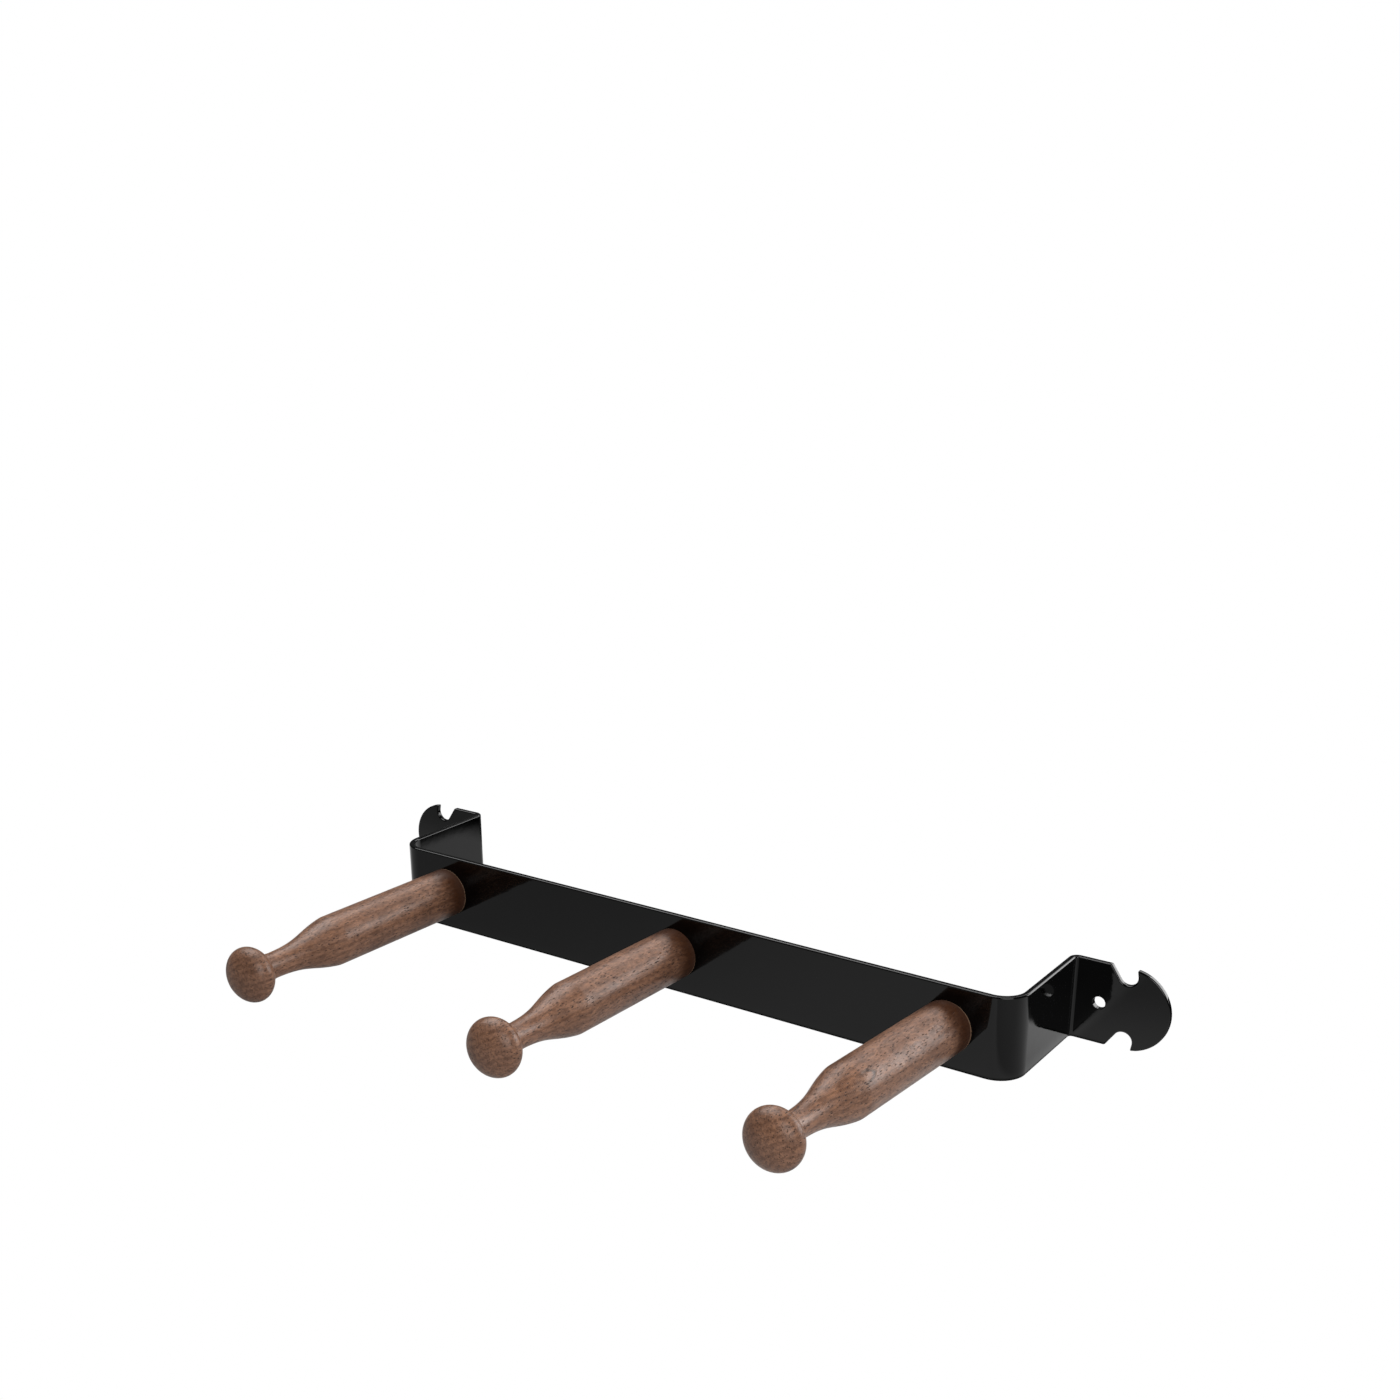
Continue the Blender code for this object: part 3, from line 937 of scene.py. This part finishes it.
def area_light(name, place, target, size, power):
    """A soft rectangular light, aimed at a point."""
    light = bpy.data.lights.new(name, "AREA")
    light.shape = "RECTANGLE"
    light.size, light.size_y = size
    light.energy = power
    lamp = new_object(name, light)
    lamp.location = place
    aim = Vector(target) - Vector(place)
    lamp.rotation_euler = aim.to_track_quat("-Z", "Y").to_euler()


def bend_shade(tree, place):
    """Shade on the floor inside the bar, rounded off under its right front bend."""
    bend_x, bend_y = 0.165, -0.049
    past_side = tree.math("MAXIMUM", tree.math("SUBTRACT", place["X"], bend_x), 0.0)
    past_front = tree.math("MAXIMUM", tree.math("SUBTRACT", bend_y, place["Y"]), 0.0)
    reach = tree.math("SQRT", tree.math("ADD", tree.math("POWER", past_side, 2.0),
                                        tree.math("POWER", past_front, 2.0)))
    return tree.times(tree.spread(place["X"], -0.112, -0.095), tree.spread(reach, 0.0160, 0.0120))


def floor_sheen(tree):
    """Light that the floor gives to glossy faces.

    There is more of it at the back and on the right. It is dimmed inside the bar and by the right end
    plate, fades behind the wall plane, and there is none where a face touches the floor.
    """
    stage = settings("stage_settings")
    place = tree.add("ShaderNodeSeparateXYZ", {"Vector": tree.object_place()}).outputs
    back = tree.spread(place["Y"], -0.08, 0.0, 0.0, stage.sheen_back)
    right = tree.spread(place["X"], 0.12, 0.26, 0.0, stage.sheen_right)
    right = tree.times(right, tree.spread(place["Y"], 0.030, 0.005))
    along = tree.spread(place["X"], -0.15, 0.12, 0.75 * stage.sheen_base, 1.30 * stage.sheen_base)
    level = tree.math("ADD", tree.math("ADD", back, right), along)
    level = tree.dimmed(level, bend_shade(tree, place), 0.9)
    beside_leg = tree.spread(place["X"], 0.176, 0.186, 1.0, 0.62)
    near = tree.times(beside_leg, tree.spread(place["Y"], 0.080, 0.045, 0.10, 1.0))
    plate_shade = tree.times(tree.spread(place["X"], 0.180, 0.192),
                             tree.spread(place["Y"], -0.002, 0.006))
    near = tree.dimmed(near, plate_shade, 0.92)
    beyond = tree.spread(place["Y"], 0.25, 0.80, 0.0, 0.30)
    level = tree.math("ADD", tree.times(level, near), beyond)
    clear_of_contact = tree.spread(tree.add("ShaderNodeLightPath").outputs["Ray Length"], 0.0005, 0.005)
    return tree.times(level, clear_of_contact)


def floor_material():
    """Pale floor: white to the camera, softly graded in reflections, open from below."""
    made, tree, shader = new_material("pale_floor")
    tone = settings("stage_settings").floor_tone
    grade = tree.spread(tree.noise(tree.object_place(), 3.0, 2.0), 0.3, 0.7)
    join(tree, tree.mix(grade, (tone,) * 3, (0.94 * tone,) * 3), shader.inputs["Base Color"])
    shader.inputs["Roughness"].default_value = 0.9
    shader.inputs["Specular IOR Level"].default_value = 0.1
    path = tree.add("ShaderNodeLightPath").outputs
    sheen = tree.add("ShaderNodeEmission", {"Color": (1, 1, 1, 1), "Strength": floor_sheen(tree)})
    mixed = tree.add("ShaderNodeMixShader", {0: path["Is Glossy Ray"], 1: shader.outputs[0],
                                             2: sheen.outputs[0]}).outputs[0]
    white = tree.add("ShaderNodeEmission", {"Color": (1, 1, 1, 1), "Strength": 1.0}).outputs[0]
    mixed = tree.add("ShaderNodeMixShader", {0: path["Is Camera Ray"], 1: mixed, 2: white}).outputs[0]
    clear = tree.add("ShaderNodeBsdfTransparent").outputs[0]
    below = tree.add("ShaderNodeNewGeometry").outputs["Backfacing"]
    mixed = tree.add("ShaderNodeMixShader", {0: below, 1: mixed, 2: clear}).outputs[0]
    join(tree, mixed, made.node_tree.nodes["Material Output"].inputs["Surface"])
    return made


def surroundings():
    """A dim, even room that is white to the camera."""
    world = bpy.data.worlds.new("soft_room")
    bpy.context.scene.world = world
    world.use_nodes = True
    tree = Tree(world.node_tree)
    seen = tree.add("ShaderNodeLightPath").outputs["Is Camera Ray"]
    room = settings("stage_settings").room
    level = tree.math("ADD", tree.times(seen, 1.0 - room), room)
    world.node_tree.nodes["Background"].inputs["Color"].default_value = (1, 1, 1, 1)
    join(tree, level, world.node_tree.nodes["Background"].inputs["Strength"])


def set_camera():
    """A camera above the right end of the rail, turned left and down, a little rolled."""
    place = (0.44162, -0.68336, 0.32183)
    turned, lowered, rolled = 33.720, 22.510, 0.313
    lens = bpy.data.cameras.new("camera")
    lens.lens = 43.922
    lens.sensor_width = 36.0
    lens.sensor_fit = "HORIZONTAL"
    lens.shift_x = -0.01695
    lens.shift_y = 0.17143
    lens.clip_start = 0.01
    camera = new_object("camera", lens)
    turn = (Matrix.Rotation(math.radians(turned), 4, "Z")
            @ Matrix.Rotation(math.radians(90 - lowered), 4, "X")
            @ Matrix.Rotation(math.radians(rolled), 4, "Z"))
    camera.matrix_world = Matrix.Translation(place) @ turn
    bpy.context.scene.camera = camera


def set_stage():
    """Floor, room, soft lights and camera."""
    stage = settings("stage_settings")
    gap_below = 0.0002
    deselect_all()
    bpy.ops.mesh.primitive_plane_add(size=12, location=(0, 0, 0))
    floor = bpy.context.object
    floor.name = "pale_floor"
    set_mode("EDIT")
    select_mesh()
    bpy.ops.mesh.subdivide(number_cuts=3)
    bpy.ops.transform.translate(value=(0, 0, RAIL_LOW.z - gap_below))
    set_mode("OBJECT")
    floor.data.materials.append(floor_material())
    surroundings()
    area_light("top_softbox", (-0.52, 0.12, 1.05), (0, -0.08, 0), (1.1, 1.1), stage.top_power)
    area_light("right_softbox", (0.80, 0.96, 0.38), (0.02, -0.12, 0), (0.90, 0.70), stage.right_power)
    area_light("back_softbox", (-0.15, 1.05, 0.75), (0, -0.03, 0), (1.2, 0.3), stage.back_power)
    area_light("front_fill", (0.75, -0.65, 0.60), (0.05, -0.12, 0), (0.7, 0.7), stage.fill_power)
    set_camera()
    bpy.context.scene.view_settings.view_transform = "Standard"


# Add-on ---------------------------------------------------

class Step:
    """What the steps share: each runs its own function."""

    def execute(self, context):
        type(self).make()
        return {"FINISHED"}


class WALLRAIL_OT_rail(Step, bpy.types.Operator):
    """Bend, profile, drill and paint the bar"""

    bl_idname = "wallrail.rail"
    bl_label = "Rail"
    make = model_rail


class WALLRAIL_OT_pegs(Step, bpy.types.Operator):
    """Turn the three wooden pegs"""

    bl_idname = "wallrail.pegs"
    bl_label = "Pegs"
    make = model_pegs


class WALLRAIL_OT_screws(Step, bpy.types.Operator):
    """Make the socket screws"""

    bl_idname = "wallrail.screws"
    bl_label = "Screws"
    make = model_screws


class WALLRAIL_OT_washers(Step, bpy.types.Operator):
    """Make the washers"""

    bl_idname = "wallrail.washers"
    bl_label = "Washers"
    make = model_washers


class WALLRAIL_OT_inserts(Step, bpy.types.Operator):
    """Make the brass inserts"""

    bl_idname = "wallrail.inserts"
    bl_label = "Inserts"
    make = model_inserts


class WALLRAIL_OT_stage(Step, bpy.types.Operator):
    """Set out the floor, the lights and the camera"""

    bl_idname = "wallrail.stage"
    bl_label = "Stage"
    make = set_stage


class WALLRAIL_PT_panel(bpy.types.Panel):
    """Sizes, finishes and steps of the wall rail"""

    bl_idname = "WALLRAIL_PT_panel"
    bl_label = "Wall Rail"
    bl_space_type = "VIEW_3D"
    bl_region_type = "UI"
    bl_category = "Wall Rail"

    def draw(self, context):
        for name, group in GROUPS.items():
            box = self.layout.box()
            box.label(text=name.replace("_", " ").capitalize())
            for key in group.__annotations__:
                box.prop(getattr(context.scene, name), key)
        for step in STEPS:
            self.layout.operator(step.bl_idname)


GROUPS = {"rail_sizes": RailSizes, "peg_sizes": PegSizes, "hardware_sizes": HardwareSizes,
          "finishes": Finishes, "stage_settings": StageSettings}
STEPS = (WALLRAIL_OT_rail, WALLRAIL_OT_pegs, WALLRAIL_OT_screws, WALLRAIL_OT_washers,
         WALLRAIL_OT_inserts, WALLRAIL_OT_stage)


def register():
    """Register the classes and hang the settings on the scene."""
    for item in (*GROUPS.values(), *STEPS, WALLRAIL_PT_panel):
        bpy.utils.register_class(item)
    for name, group in GROUPS.items():
        setattr(bpy.types.Scene, name, bpy.props.PointerProperty(type=group))


def unregister():
    """Undo register."""
    for name in GROUPS:
        delattr(bpy.types.Scene, name)
    for item in reversed((*GROUPS.values(), *STEPS, WALLRAIL_PT_panel)):
        bpy.utils.unregister_class(item)


def main():
    """Make every piece, then the stage."""
    register()
    bpy.ops.wallrail.rail()
    bpy.ops.wallrail.pegs()
    bpy.ops.wallrail.screws()
    bpy.ops.wallrail.washers()
    bpy.ops.wallrail.inserts()
    bpy.ops.wallrail.stage()


if __name__ == "__main__":
    main()
